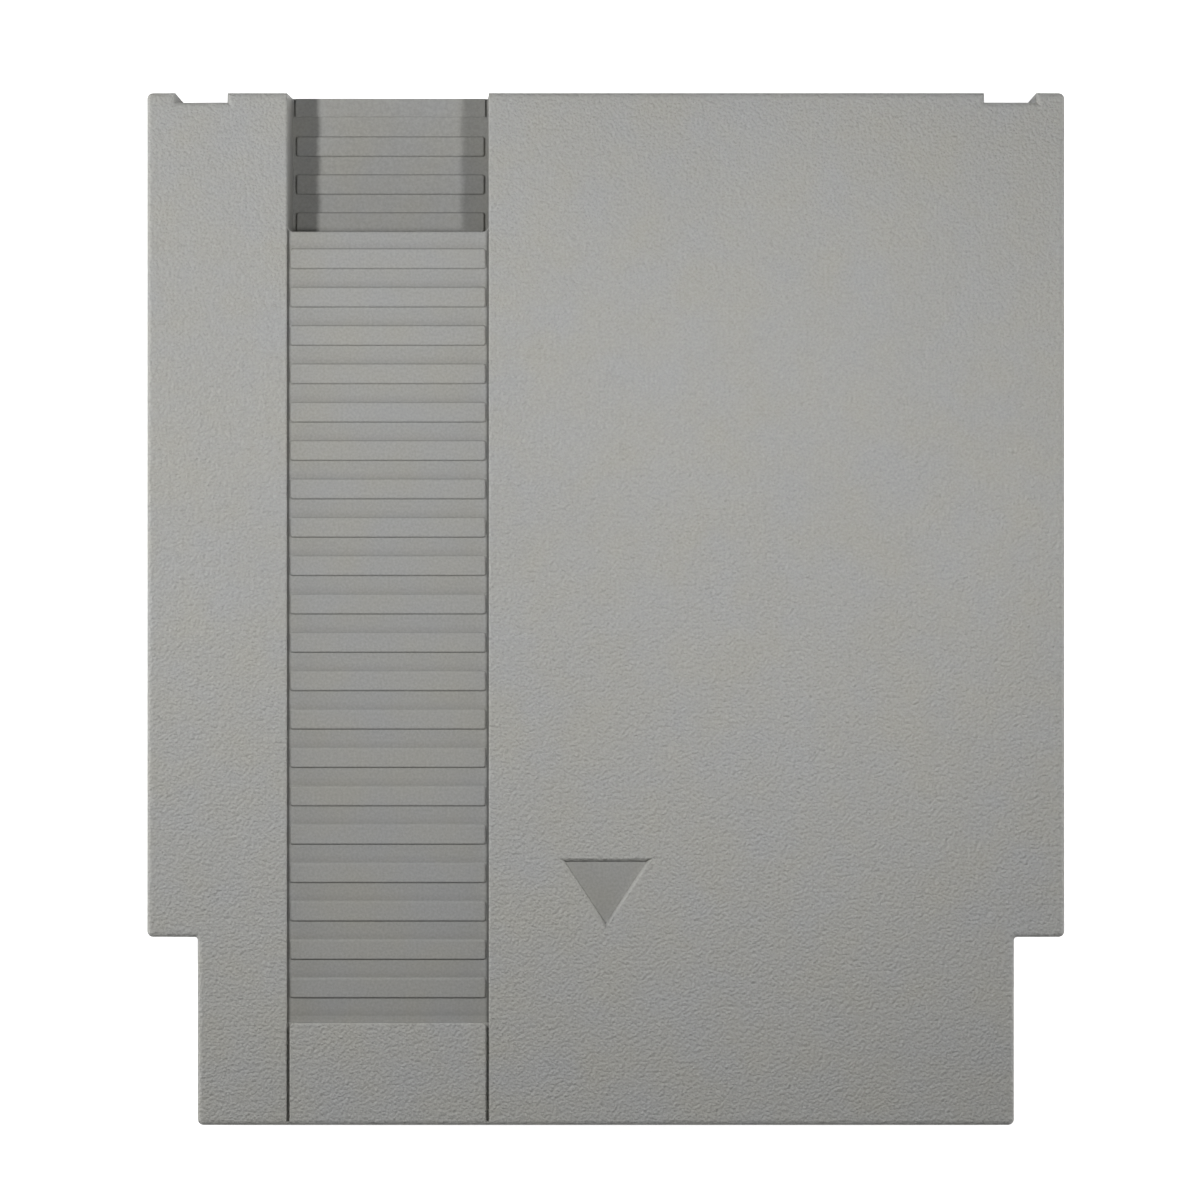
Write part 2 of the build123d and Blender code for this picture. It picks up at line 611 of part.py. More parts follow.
def circuit_board(lead_places):
    """The board with its card-edge tongue, boss notches and lead holes."""
    z_span = (BOARD_REAR_Z, BOARD_FRONT_Z)
    half = BOARD_WIDTH / 2
    tongue = TONGUE_WIDTH / 2
    board = block((-tongue, tongue), (BOARD_BOTTOM, TONGUE_TOP), z_span)
    lower_edges = board.edges().filter_by(Axis.X).group_by(Axis.Y)[0]
    board = chamfer(lower_edges, BOARD_BEVEL)
    board += block((-half, half), (TONGUE_TOP, BOARD_TOP), z_span)
    for x, y in BOSS_PLACES:
        board -= rod(FRONT_BOSS_DIAMETER + 2 * BOARD_CLEARANCE, x, y, *z_span)
    holes = [rod(HOLE_DIAMETER, x, y, *z_span) for x, y in lead_places]
    return board.cut(*holes)


def contacts(z_span):
    """The row of gold fingers on one side of the tongue."""
    first = -(CONTACT_COUNT - 1) * CONTACT_PITCH / 2
    y_span = (BOARD_BOTTOM + CONTACT_EDGE, BOARD_BOTTOM + CONTACT_EDGE + CONTACT_LENGTH)
    half = CONTACT_WIDTH / 2
    middles = [first + step * CONTACT_PITCH for step in range(CONTACT_COUNT)]
    return [block((x - half, x + half), y_span, z_span) for x in middles]


def cartridge():
    """Every node of the cartridge, as lists of solids by name."""
    rom = (ROM_PINS, ROM_LENGTH, ROM_WIDTH, ROM_ROW)
    lockout = (LOCKOUT_PINS, LOCKOUT_LENGTH, LOCKOUT_WIDTH, LOCKOUT_ROW)
    chips = [
        chip("program_rom", -ROM_OFFSET, ROM_Y, *rom),
        chip("graphics_rom", ROM_OFFSET, ROM_Y, *rom),
        chip("lockout_chip", 0, LOCKOUT_Y, *lockout),
    ]
    capacitors = [
        electrolytic(),
        bypass_capacitor("bypass_capacitor_left", -BYPASS_OFFSET),
        bypass_capacitor("bypass_capacitor_right", BYPASS_OFFSET),
    ]
    leg_places = [place for _, places in chips for place in places]
    wire_places = [place for _, places in capacitors for place in places]
    leg_cone = solder_cone(Rectangle(LEAD_THICKNESS, LEAD_WIDTH))
    wire_cone = solder_cone(Circle(WIRE_DIAMETER / 2))
    solder = [Pos(x, y, BOARD_REAR_Z) * leg_cone for x, y in leg_places]
    solder += [Pos(x, y, BOARD_REAR_Z) * wire_cone for x, y in wire_places]
    screw = case_screw()

    nodes = {
        "front_shell": [front_shell()],
        "rear_shell": [rear_shell()],
        "case_screws": [Pos(x, y, SEAT_Z) * screw for x, y in BOSS_PLACES],
        "circuit_board": [circuit_board(leg_places + wire_places)],
        "front_contacts": contacts((BOARD_FRONT_Z, BOARD_FRONT_Z + CONTACT_THICKNESS)),
        "rear_contacts": contacts((BOARD_REAR_Z - CONTACT_THICKNESS, BOARD_REAR_Z)),
        "solder_joints": solder,
    }
    for group, _ in chips + capacitors:
        nodes.update(group)
    return nodes


os.makedirs("parts", exist_ok=True)
for node, solids in cartridge().items():
    export_step(Compound(children=[solid.solid() for solid in solids]), f"parts/{node}.step")
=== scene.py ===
from math import radians

import bpy
from bpy.props import FloatProperty, FloatVectorProperty, IntProperty, PointerProperty
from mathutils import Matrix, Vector


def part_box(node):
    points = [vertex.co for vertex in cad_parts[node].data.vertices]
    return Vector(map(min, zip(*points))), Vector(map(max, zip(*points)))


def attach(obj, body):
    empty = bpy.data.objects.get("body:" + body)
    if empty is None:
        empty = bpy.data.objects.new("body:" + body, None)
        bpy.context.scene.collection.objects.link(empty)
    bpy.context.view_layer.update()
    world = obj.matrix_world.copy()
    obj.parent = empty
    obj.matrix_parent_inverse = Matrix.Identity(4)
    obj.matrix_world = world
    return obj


bl_info = {
    "name": "Game cartridge",
    "version": (1, 0, 0),
    "blender": (4, 5, 0),
    "location": "View3D > Sidebar > Cartridge",
    "description": "Finishes a packed plug-in game cartridge and sets it on a studio floor",
    "category": "Object",
}

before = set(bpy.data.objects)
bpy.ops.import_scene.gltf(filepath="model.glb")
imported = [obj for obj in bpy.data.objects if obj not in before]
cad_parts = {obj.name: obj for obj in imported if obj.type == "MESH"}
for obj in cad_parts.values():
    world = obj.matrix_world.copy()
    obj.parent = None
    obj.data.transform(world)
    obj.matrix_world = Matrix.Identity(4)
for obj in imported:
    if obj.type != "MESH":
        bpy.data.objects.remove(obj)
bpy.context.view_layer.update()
MM = 0.001
BODY = "root"

# Places on the case, in metres, in the cartridge's own frame
CASE_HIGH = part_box("front_shell")[1]
FACE_Z = CASE_HIGH.z
STRIP_X = -28.5 * MM
STRIP_HALF = 13.2 * MM
STRIP_LOW_Y = -54.1 * MM
STRIP_HIGH_Y = CASE_HIGH.y - 0.02 * MM
STRIP_FLOOR_Z = FACE_Z - 0.7 * MM
FIRST_RIB_TOP = 47.2 * MM
RIB_PITCH = 5.02 * MM
RECESS_LOW_Y = 49.4 * MM
RECESS_FLOOR_Z = 10.0 * MM
ARROW_MIDDLE = (0.0, -37.0 * MM, FACE_Z - 0.65 * MM)
ARROW_HALF = (6.0 * MM, 4.7 * MM, 0.2 * MM)

# The floor lies this far below the rear face, so that the two don't share a plane
FLOOR_GAP = 0.02 * MM

# Places on the board
BOARD_LOW, BOARD_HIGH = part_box("circuit_board")
CONTACT_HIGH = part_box("front_contacts")[1]
SCREW_PLACES = ((-48.0 * MM, -36.0 * MM), (48.0 * MM, -36.0 * MM), (0.0, 8.0 * MM))
CHIPS = ("program_rom", "graphics_rom", "lockout_chip")
CHIP_LEAD_THICKNESS = 0.28 * MM

# Unevenness of the case plastic: widths of its patches, and how far they change the colour
MOTTLE_WIDTH = 28 * MM
MOTTLE_RANGE = (0.985, 1.015)
SPECKLE_WIDTH = 0.34 * MM
SPECKLE_RANGE = (0.92, 1.08)
CAST_WIDTH = 7 * MM
WARM_CAST = (1.015, 1.0, 0.97)
COOL_CAST = (0.99, 0.995, 1.03)
GRAINED_SPECULAR = 0.35
PLAIN_SPECULAR = 0.12

# Painted shade on the strip's floor: from where to where it darkens towards a side wall, how much of a
# rib's pitch it covers above the rib, and how far from the floor's height it reaches
EDGE_SHADE_START = 0.6 * MM
EDGE_SHADE_END = 0.1 * MM
LEDGE_SHARE = 0.2
FLOOR_REACH = 0.06 * MM

# Share of a printed ring's width that lies beyond its track's end, and segments in a thread's turn
RING_OVERHANG = 1 / 2.2
THREAD_STEPS = 24

# Pale stripe on the capacitor's sleeve, as shares of half its depth and height
STRIPE_DEPTH = 0.3
STRIPE_HEIGHT = 0.45


class CaseFinish(bpy.types.PropertyGroup):
    """Look of the moulded case."""

    colour: FloatVectorProperty(
        name="Plastic", description="Colour of the plastic", subtype="COLOR", size=3,
        min=0.0, max=1.0, default=(0.352, 0.353, 0.336))
    grain_size: FloatProperty(
        name="Grain size", description="Width of one lump of the moulded grain", unit="LENGTH",
        default=0.43 * MM)
    grain_depth: FloatProperty(
        name="Grain depth", description="Height of the moulded grain", unit="LENGTH", default=0.14 * MM)
    satin_depth: FloatProperty(
        name="Satin depth", description="Height of the unevenness on the plain strip", unit="LENGTH",
        default=0.02 * MM)
    roughness: FloatProperty(
        name="Roughness", description="Roughness of the grained plastic", subtype="FACTOR", min=0.0, max=1.0,
        default=0.6)
    plain_roughness: FloatProperty(
        name="Plain roughness", description="Roughness of the strip and the arrow's floor",
        subtype="FACTOR", min=0.0, max=1.0, default=0.45)
    # Painted shade: the plain strip and the arrow's floor are coloured darker than the grain, most at the
    # strip's lower end and least at its upper end
    plain_shade: FloatProperty(
        name="Plain shade", description="How much darker the arrow's floor and the strip's lower end are",
        subtype="FACTOR", min=0.0, max=1.0, default=0.15)
    upper_shade: FloatProperty(
        name="Upper shade", description="How much darker the strip is at its upper end",
        subtype="FACTOR", min=0.0, max=1.0, default=0.05)
    # Painted shade: the finger recess's floor is coloured darker towards its lower wall, where that wall
    # shades it
    recess_painted_shade: FloatProperty(
        name="Recess painted shade", description="How much darker the finger recess is at its lower wall",
        subtype="FACTOR", min=0.0, max=1.0, default=0.23)
    # Painted shade: the strip's floor is coloured darker along its side walls, where the walls cast their
    # shadow
    edge_painted_shade: FloatProperty(
        name="Edge painted shade", description="How much darker the strip is along its side walls",
        subtype="FACTOR", min=0.0, max=1.0, default=0.45)
    # Painted shade: the strip's floor between the ribs is coloured a little darker than the ribs
    floor_painted_shade: FloatProperty(
        name="Floor painted shade", description="How much darker the strip's floor is than its ribs",
        subtype="FACTOR", min=0.0, max=1.0, default=0.03)
    # Painted shade: the strip's floor is coloured darker just above each rib, where the rib shades it
    ledge_painted_shade: FloatProperty(
        name="Ledge painted shade", description="How much darker the strip's floor is above each rib",
        subtype="FACTOR", min=0.0, max=1.0, default=0.12)


class BoardFinish(bpy.types.PropertyGroup):
    """Look and print of the circuit board."""

    mask: FloatVectorProperty(
        name="Solder mask", description="Colour of the solder mask", subtype="COLOR", size=3,
        min=0.0, max=1.0, default=(0.016, 0.115, 0.042))
    laminate: FloatVectorProperty(
        name="Laminate", description="Colour of the board's cut edges", subtype="COLOR", size=3,
        min=0.0, max=1.0, default=(0.36, 0.34, 0.17))
    copper_height: FloatProperty(
        name="Copper height", description="How far the copper stands proud of the board", unit="LENGTH",
        default=0.035 * MM)
    track_width: FloatProperty(
        name="Track width", description="Width of a printed track", unit="LENGTH", default=0.5 * MM)
    short_track: FloatProperty(
        name="Short track", description="Length of every other track", unit="LENGTH", default=1.6 * MM)
    long_track: FloatProperty(
        name="Long track", description="Length of the tracks between", unit="LENGTH", default=3.0 * MM)
    via_diameter: FloatProperty(
        name="Via", description="Width of the ring that ends a track", unit="LENGTH", default=1.1 * MM)
    pad_diameter: FloatProperty(
        name="Pad", description="Width of the copper ring around a lead", unit="LENGTH", default=1.7 * MM)
    hole_diameter: FloatProperty(
        name="Lead hole", description="Width of the hole in a pad", unit="LENGTH", default=0.92 * MM)
    legend_line: FloatProperty(
        name="Legend line", description="Width of the printed outlines", unit="LENGTH", default=0.25 * MM)
    legend_margin: FloatProperty(
        name="Legend margin", description="Gap between a chip and its outline", unit="LENGTH",
        default=0.9 * MM)


class ScrewThread(bpy.types.PropertyGroup):
    """Thread of the case screws."""

    pitch: FloatProperty(name="Pitch", description="Rise of one turn", unit="LENGTH", default=1.0 * MM)
    crest: FloatProperty(
        name="Crest", description="Width over the crests", unit="LENGTH", default=3.0 * MM)
    core: FloatProperty(name="Core", description="Width of the shank", unit="LENGTH", default=2.5 * MM)
    start: FloatProperty(
        name="Start", description="Height of the first turn", unit="LENGTH", default=7.4 * MM)
    turns: IntProperty(name="Turns", description="Whole turns of the thread", default=4)


class StudioSetup(bpy.types.PropertyGroup):
    """Camera, lamps and floor."""

    camera_height: FloatProperty(
        name="Camera height", description="Height above the front face", unit="LENGTH", default=0.53)
    view_width: FloatProperty(
        name="View width", description="Width of the picture at the front face", unit="LENGTH",
        default=0.1568)
    view_middle: FloatVectorProperty(
        name="View middle", description="Place under the middle of the picture", unit="LENGTH", size=2,
        default=(-0.76 * MM, 1.18 * MM))
    left_lamp: FloatVectorProperty(
        name="Left lamp", description="Place of the left lamp, from the middle of the front face",
        unit="LENGTH", size=3, default=(-0.145, 0.053, 0.181))
    right_lamp: FloatVectorProperty(
        name="Right lamp", description="Place of the right lamp, from the middle of the front face",
        unit="LENGTH", size=3, default=(0.066, 0.029, 0.143))
    lamp_aim: FloatVectorProperty(
        name="Lamp aim", description="Place on the front face that both lamps point at", unit="LENGTH",
        size=3, default=(-0.028, 0.02, 0.0))
    lamp_size: FloatProperty(
        name="Lamp size", description="Width of a lamp's face", unit="LENGTH", default=0.022)
    left_power: FloatProperty(name="Left power", description="Power of the left lamp", default=0.3)
    right_power: FloatProperty(name="Right power", description="Power of the right lamp", default=0.128)
    side_reach: FloatProperty(
        name="Side reach", description="How far out the four low lamps stand", unit="LENGTH", default=0.6)
    side_height: FloatProperty(
        name="Side height", description="Height of the low lamps above the front face", unit="LENGTH",
        default=0.04)
    side_size: FloatProperty(
        name="Side size", description="Width of a low lamp's face", unit="LENGTH", default=0.2)
    left_side_power: FloatProperty(
        name="Left side power", description="Power of the left side lamp", default=2.1)
    right_side_power: FloatProperty(
        name="Right side power", description="Power of the right side lamp", default=1.8)
    end_power: FloatProperty(
        name="End power", description="Power of the low lamps at the top and bottom edges", default=0.3)
    fill: FloatProperty(
        name="Fill", description="Strength of the light from all round", subtype="FACTOR", default=0.02)
    floor_glow: FloatProperty(
        name="Floor glow", description="White that the picture shows on the floor in full shade",
        subtype="FACTOR", default=0.93)
    floor_width: FloatProperty(
        name="Floor width", description="Width of the floor", unit="LENGTH", default=6.0)


class Finish:
    """A material under construction, on object coordinates."""

    def __init__(self, name):
        self.material = bpy.data.materials.new(name)
        self.material.use_nodes = True
        self.tree = self.material.node_tree
        self.shader = self.tree.nodes["Principled BSDF"]
        self.place = self.tree.nodes.new("ShaderNodeTexCoord").outputs["Object"]

    def feed(self, socket, value):
        """Sets a socket, or links it to another node's output."""
        if isinstance(value, bpy.types.NodeSocket):
            self.tree.links.new(value, socket)
        else:
            socket.default_value = value

    def math(self, operation, *values):
        """One sum on numbers or outputs."""
        node = self.tree.nodes.new("ShaderNodeMath")
        node.operation = operation
        for socket, value in zip(node.inputs, values):
            self.feed(socket, value)
        return node.outputs["Value"]

    def axes(self):
        """The place's X, Y and Z."""
        node = self.tree.nodes.new("ShaderNodeSeparateXYZ")
        self.feed(node.inputs["Vector"], self.place)
        return node.outputs

    def inside(self, middle, half):
        """One inside the box, and nothing outside it."""
        share = 1.0
        for axis, centre, reach in zip(self.axes(), middle, half):
            share = self.math("MULTIPLY", share, self.math("COMPARE", axis, centre, reach))
        return share

    def noise(self, width, detail=2.0, stretch=(1.0, 1.0, 1.0), roughness=0.5):
        """Cloudy noise with features about as wide as width."""
        mapping = self.tree.nodes.new("ShaderNodeMapping")
        self.feed(mapping.inputs["Vector"], self.place)
        mapping.inputs["Scale"].default_value = stretch
        node = self.tree.nodes.new("ShaderNodeTexNoise")
        self.feed(node.inputs["Vector"], mapping.outputs["Vector"])
        node.inputs["Scale"].default_value = 1 / width
        node.inputs["Detail"].default_value = detail
        node.inputs["Roughness"].default_value = roughness
        return node.outputs["Fac"]

    def pebbles(self, width):
        """Rounded lumps about as wide as width, one at their tops."""
        node = self.tree.nodes.new("ShaderNodeTexVoronoi")
        self.feed(node.inputs["Vector"], self.place)
        node.inputs["Scale"].default_value = 1 / width
        return self.math("SUBTRACT", 1.0, node.outputs["Distance"])

    def ramp(self, value, start, end, low, high):
        """Low where the value is at start, high where it is at end, and level beyond both."""
        node = self.tree.nodes.new("ShaderNodeMapRange")
        for name, setting in (("From Min", start), ("From Max", end), ("To Min", low), ("To Max", high)):
            self.feed(node.inputs[name], setting)
        self.feed(node.inputs["Value"], value)
        return node.outputs["Result"]

    def spread(self, value, low, high):
        """Noise of about 0.3 to 0.7 spread over low to high."""
        return self.ramp(value, 0.3, 0.7, low, high)

    def remains(self, *shares):
        """What is left of one after each share is taken off."""
        left = 1.0
        for share in shares:
            left = self.math("MULTIPLY", left, self.math("SUBTRACT", 1.0, share))
        return left

    def blend(self, share, first, second):
        """First colour where share is nothing, second where it is one."""
        node = self.tree.nodes.new("ShaderNodeMix")
        node.data_type = "RGBA"
        self.feed(node.inputs["Factor"], share)
        for socket, colour in ((node.inputs["A"], first), (node.inputs["B"], second)):
            self.feed(self.colour_socket(node, socket.name), as_colour(colour))
        return self.colour_socket(node, "Result")

    @staticmethod
    def colour_socket(node, name):
        """The colour socket of that name on a mix node."""
        group = node.outputs if name == "Result" else node.inputs
        return next(socket for socket in group if socket.name == name and socket.type == "RGBA")

    def tone(self, colour, amount):
        """A colour made lighter or darker by amount."""
        node = self.tree.nodes.new("ShaderNodeHueSaturation")
        self.feed(node.inputs["Color"], as_colour(colour))
        self.feed(node.inputs["Value"], amount)
        return node.outputs["Color"]

    def bump(self, height, depth):
        """Gives the surface the height's relief."""
        node = self.tree.nodes.new("ShaderNodeBump")
        node.inputs["Distance"].default_value = 1.0
        self.feed(node.inputs["Height"], self.math("MULTIPLY", height, depth))
        self.feed(self.shader.inputs["Normal"], node.outputs["Normal"])

    def set(self, **settings):
        """Sets the shader's sockets by name, with underscores for spaces."""
        for name, value in settings.items():
            self.feed(self.shader.inputs[name.replace("_", " ")], value)


def as_colour(value):
    """A colour with its alpha, unless it is an output already."""
    return value if isinstance(value, bpy.types.NodeSocket) else (*value, 1.0)


def dress(material, *nodes):
    """Gives CAD nodes a finish."""
    for name in nodes:
        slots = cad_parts[name].data.materials
        slots.clear()
        slots.append(material)


def strip_part(finish, low_y, low_z, high_z):
    """One on the grip strip between two depths, from low_y to the top edge."""
    middle = (STRIP_X, (low_y + STRIP_HIGH_Y) / 2, (low_z + high_z) / 2)
    half = (STRIP_HALF, (STRIP_HIGH_Y - low_y) / 2, (high_z - low_z) / 2)
    return finish.inside(middle, half)


def case_painted_shade(finish, settings):
    """Shares of the colour taken off as painted shade: in the recess, and on the strip's floor by its walls
    and ribs.
    """
    x, y, _ = finish.axes()
    # Painted shade in the recess, growing towards its lower wall where the wall blocks light
    recess = strip_part(finish, RECESS_LOW_Y, RECESS_FLOOR_Z - MM, STRIP_FLOOR_Z - MM)
    depth = finish.ramp(y, STRIP_HIGH_Y, RECESS_LOW_Y, 0.0, settings.recess_painted_shade)

    # Painted shade along the strip's side walls, where the walls shadow the floor
    offset = finish.math("ABSOLUTE", finish.math("SUBTRACT", x, STRIP_X))
    edge = finish.ramp(offset, STRIP_HALF - EDGE_SHADE_START, STRIP_HALF - EDGE_SHADE_END, 0.0, settings.edge_painted_shade)

    # Painted shade on the strip's floor: a little everywhere, and more just above each rib
    floor = strip_part(finish, STRIP_LOW_Y, STRIP_FLOOR_Z - FLOOR_REACH, STRIP_FLOOR_Z + FLOOR_REACH)
    turns = finish.math("DIVIDE", finish.math("SUBTRACT", y, FIRST_RIB_TOP), RIB_PITCH)
    ledge = finish.ramp(finish.math("FRACT", turns), 0.0, LEDGE_SHARE, settings.ledge_painted_shade, 0.0)
    pairs = ((recess, depth), (floor, edge), (floor, ledge), (floor, settings.floor_painted_shade))
    return [finish.math("MULTIPLY", *pair) for pair in pairs]


def case_plastic(settings):
    """Grey plastic with a pebbly moulded grain, and plain satin on the grip strip and the arrow's floor."""
    finish = Finish("Grey plastic")
    plain = finish.math(
        "MAXIMUM", strip_part(finish, STRIP_LOW_Y, 0.0, FACE_Z), finish.inside(ARROW_MIDDLE, ARROW_HALF))
    grained = finish.math("SUBTRACT", 1.0, plain)
    crumbs = finish.noise(settings.grain_size, detail=1.5, roughness=0.6)
    lumps = finish.math("ADD", crumbs, finish.pebbles(settings.grain_size))
    satin = finish.noise(settings.grain_size / 2, detail=2.0)
    grain = finish.math("MULTIPLY", lumps, finish.math("MULTIPLY", grained, settings.grain_depth))
    finish.bump(finish.math("MULTIPLY_ADD", satin, settings.satin_depth, grain), 1.0)

    mottle = finish.spread(finish.noise(MOTTLE_WIDTH, detail=1.5), *MOTTLE_RANGE)
    speckle = finish.spread(finish.noise(SPECKLE_WIDTH, detail=2.0), *SPECKLE_RANGE)
    # Painted shade on the plain strip and the arrow's floor, darker towards the strip's lower end
    plain_painted_shade = finish.ramp(
        finish.axes()["Y"], STRIP_LOW_Y, RECESS_LOW_Y, settings.plain_shade, settings.upper_shade)
    shade = finish.remains(finish.math("MULTIPLY", plain, plain_painted_shade), *case_painted_shade(finish, settings))
    amount = finish.math("MULTIPLY", shade, finish.math("MULTIPLY", mottle, speckle))
    warm = [channel * share for channel, share in zip(settings.colour, WARM_CAST)]
    cool = [channel * share for channel, share in zip(settings.colour, COOL_CAST)]
    cast = finish.blend(finish.spread(finish.noise(CAST_WIDTH, detail=2.0), 0.0, 1.0), warm, cool)
    finish.set(
        Base_Color=finish.tone(cast, amount),
        Roughness=finish.ramp(plain, 0.0, 1.0, settings.roughness, settings.plain_roughness),
        Specular_IOR_Level=finish.ramp(plain, 0.0, 1.0, GRAINED_SPECULAR, PLAIN_SPECULAR))
    return finish.material


def board_laminate(settings):
    """Green solder mask over a faint weave, and bare laminate on the cut edges."""
    finish = Finish("Board laminate")
    height = finish.axes()["Z"]
    middle = (BOARD_LOW.z + BOARD_HIGH.z) / 2
    skin = (BOARD_HIGH.z - BOARD_LOW.z) / 2 - 0.02 * MM
    edge = finish.math("COMPARE", height, middle, skin)
    warp = finish.noise(0.6 * MM, detail=0.0, stretch=(1.0, 0.05, 1.0))
    weft = finish.noise(0.6 * MM, detail=0.0, stretch=(0.05, 1.0, 1.0))
    weave = finish.math("ADD", warp, weft)
    mask = finish.tone(settings.mask, finish.spread(finish.math("MULTIPLY", weave, 0.5), 0.85, 1.15))
    resin = finish.tone(settings.laminate, finish.spread(finish.noise(0.4 * MM), 0.85, 1.15))
    finish.bump(weave, 0.008 * MM)
    finish.set(
        Base_Color=finish.blend(edge, mask, resin),
        Roughness=finish.math("MULTIPLY_ADD", edge, 0.4, 0.28),
        Coat_Weight=0.3)
    return finish.material


def metal(name, colour, roughness, rub, stretch=(1.0, 1.0, 1.0)):
    """Bare metal whose colour and shine vary with fine rubbing, rub wide."""
    finish = Finish(name)
    marks = finish.noise(rub, detail=3.0, stretch=stretch)
    finish.bump(marks, rub / 60)
    finish.set(
        Base_Color=finish.tone(colour, finish.spread(marks, 0.88, 1.06)),
        Roughness=finish.spread(marks, roughness + 0.08, roughness - 0.08),
        Metallic=1.0)
    return finish.material


def moulded(name, colour, roughness, lump, depth):
    """Resin, rubber or epoxy with an uneven skin."""
    finish = Finish(name)
    lumps = finish.noise(lump, detail=2.0)
    finish.bump(lumps, depth)
    finish.set(
        Base_Color=finish.tone(colour, finish.spread(lumps, 0.88, 1.12)),
        Roughness=finish.spread(finish.noise(lump * 3), roughness - 0.06, roughness + 0.06))
    return finish.material


def sleeve_film():
    """Dark shrink film with a pale stripe along the can's lower side."""
    finish = Finish("Can sleeve")
    low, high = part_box("electrolytic_sleeve")
    middle = (low + high) / 2
    half = (high - low) / 2
    stripe_middle = (middle.x, low.y, middle.z)
    stripe = finish.inside(stripe_middle, (half.x, half.y * STRIPE_DEPTH, half.z * STRIPE_HEIGHT))
    film = finish.tone((0.012, 0.022, 0.07), finish.spread(finish.noise(1.2 * MM), 0.85, 1.15))
    finish.bump(finish.noise(0.8 * MM, stretch=(0.3, 1.0, 1.0)), 0.015 * MM)
    finish.set(Base_Color=finish.blend(stripe, film, (0.6, 0.62, 0.64)), Roughness=0.25, Coat_Weight=0.4)
    return finish.material


def flat_ink():
    """White legend ink, worn thin in places."""
    finish = Finish("Legend ink")
    wear = finish.noise(0.3 * MM, detail=2.0)
    finish.bump(wear, 0.006 * MM)
    finish.set(Base_Color=finish.tone((0.72, 0.72, 0.68), finish.spread(wear, 0.85, 1.05)), Roughness=0.6)
    return finish.material


def covered_copper(settings):
    """Copper under the solder mask: a paler green than the bare board."""
    finish = Finish("Masked copper")
    cloud = finish.noise(0.8 * MM)
    colour = [channel * 1.9 for channel in settings.mask]
    finish.bump(cloud, 0.006 * MM)
    finish.set(
        Base_Color=finish.tone(colour, finish.spread(cloud, 0.9, 1.1)), Roughness=0.28, Coat_Weight=0.3)
    return finish.material


def start_fresh():
    """Nothing selected, in object mode."""
    if bpy.context.object and bpy.context.object.mode != "OBJECT":
        bpy.ops.object.mode_set(mode="OBJECT")
    bpy.ops.object.select_all(action="DESELECT")


def pick(*objects):
    """Selects only these objects, with the first of them active."""
    start_fresh()
    for item in objects:
        item.select_set(True)
    bpy.context.view_layer.objects.active = objects[0]


def solidify(item, thickness):
    """Thickens a flat piece upwards, or downwards where thickness is negative."""
    pick(item)
    modifier = item.modifiers.new("Thickness", "SOLIDIFY")
    modifier.thickness = abs(thickness)
    modifier.offset = 1.0 if thickness > 0 else -1.0
    bpy.ops.object.modifier_apply(modifier=modifier.name)


def repeat(item, count, step):
    """Turns a piece into a row of like pieces."""
    pick(item)
    modifier = item.modifiers.new("Row", "ARRAY")
    modifier.use_relative_offset = False
    modifier.use_constant_offset = True
    modifier.count = count
    modifier.constant_offset_displace = step
    bpy.ops.object.modifier_apply(modifier=modifier.name)


def tidy_mesh(item):
    """Merges doubles and turns every face outwards."""
    pick(item)
    bpy.ops.object.transform_apply(location=True, rotation=True, scale=True)
    bpy.ops.object.mode_set(mode="EDIT")
    bpy.ops.mesh.select_all(action="SELECT")
    bpy.ops.mesh.remove_doubles(threshold=0.001 * MM)
    bpy.ops.mesh.normals_make_consistent(inside=False)
    bpy.ops.object.mode_set(mode="OBJECT")


def complete(name, material, parts):
    """Joins parts into one finished piece that moves with the case."""
    pick(*parts)
    if len(parts) > 1:
        bpy.ops.object.join()
    piece = bpy.context.view_layer.objects.active
    tidy_mesh(piece)
    piece.name = name
    piece.data.name = name
    piece.data.materials.clear()
    piece.data.materials.append(material)
    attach(piece, BODY)
    return piece


def hollow(line):
    """Leaves only a border, line wide, of the flat piece just added."""
    bpy.ops.object.mode_set(mode="EDIT")
    bpy.ops.mesh.select_all(action="SELECT")
    bpy.ops.mesh.inset(thickness=line, depth=0)
    bpy.ops.mesh.delete(type="FACE")
    bpy.ops.object.mode_set(mode="OBJECT")
    return bpy.context.active_object


def ring(outer, inner, place, sides=16):
    """A flat ring lying on a face."""
    start_fresh()
    bpy.ops.mesh.primitive_circle_add(vertices=sides, radius=outer / 2, fill_type="NGON", location=place)
    return hollow((outer - inner) / 2)


def strip(width, length, place):
    """A flat strip that runs from place towards the top edge."""
    start_fresh()
    bpy.ops.mesh.primitive_plane_add(size=1, location=(place[0], place[1] + length / 2, place[2]))
    bpy.ops.transform.resize(value=(width, length, 1))
    bpy.ops.object.transform_apply(location=True, rotation=True, scale=True)
    return bpy.context.active_object


def border(low, high, line, z):
    """A flat rectangular outline between two corners, line wide."""
    start_fresh()
    middle = ((low[0] + high[0]) / 2, (low[1] + high[1]) / 2, z)
    bpy.ops.mesh.primitive_plane_add(size=1, location=middle)
    bpy.ops.transform.resize(value=(high[0] - low[0], high[1] - low[1], 1))
    bpy.ops.object.transform_apply(location=True, rotation=True, scale=True)
    return hollow(line)


def contact_row():
    """How many contacts a row has, their pitch, and the first one's middle."""
    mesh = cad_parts["front_contacts"].data
    lefts = sorted({round(vertex.co.x, 5) for vertex in mesh.vertices})
    count = len(lefts) // 2
    return count, (lefts[-2] - lefts[0]) / (count - 1), (lefts[0] + lefts[1]) / 2


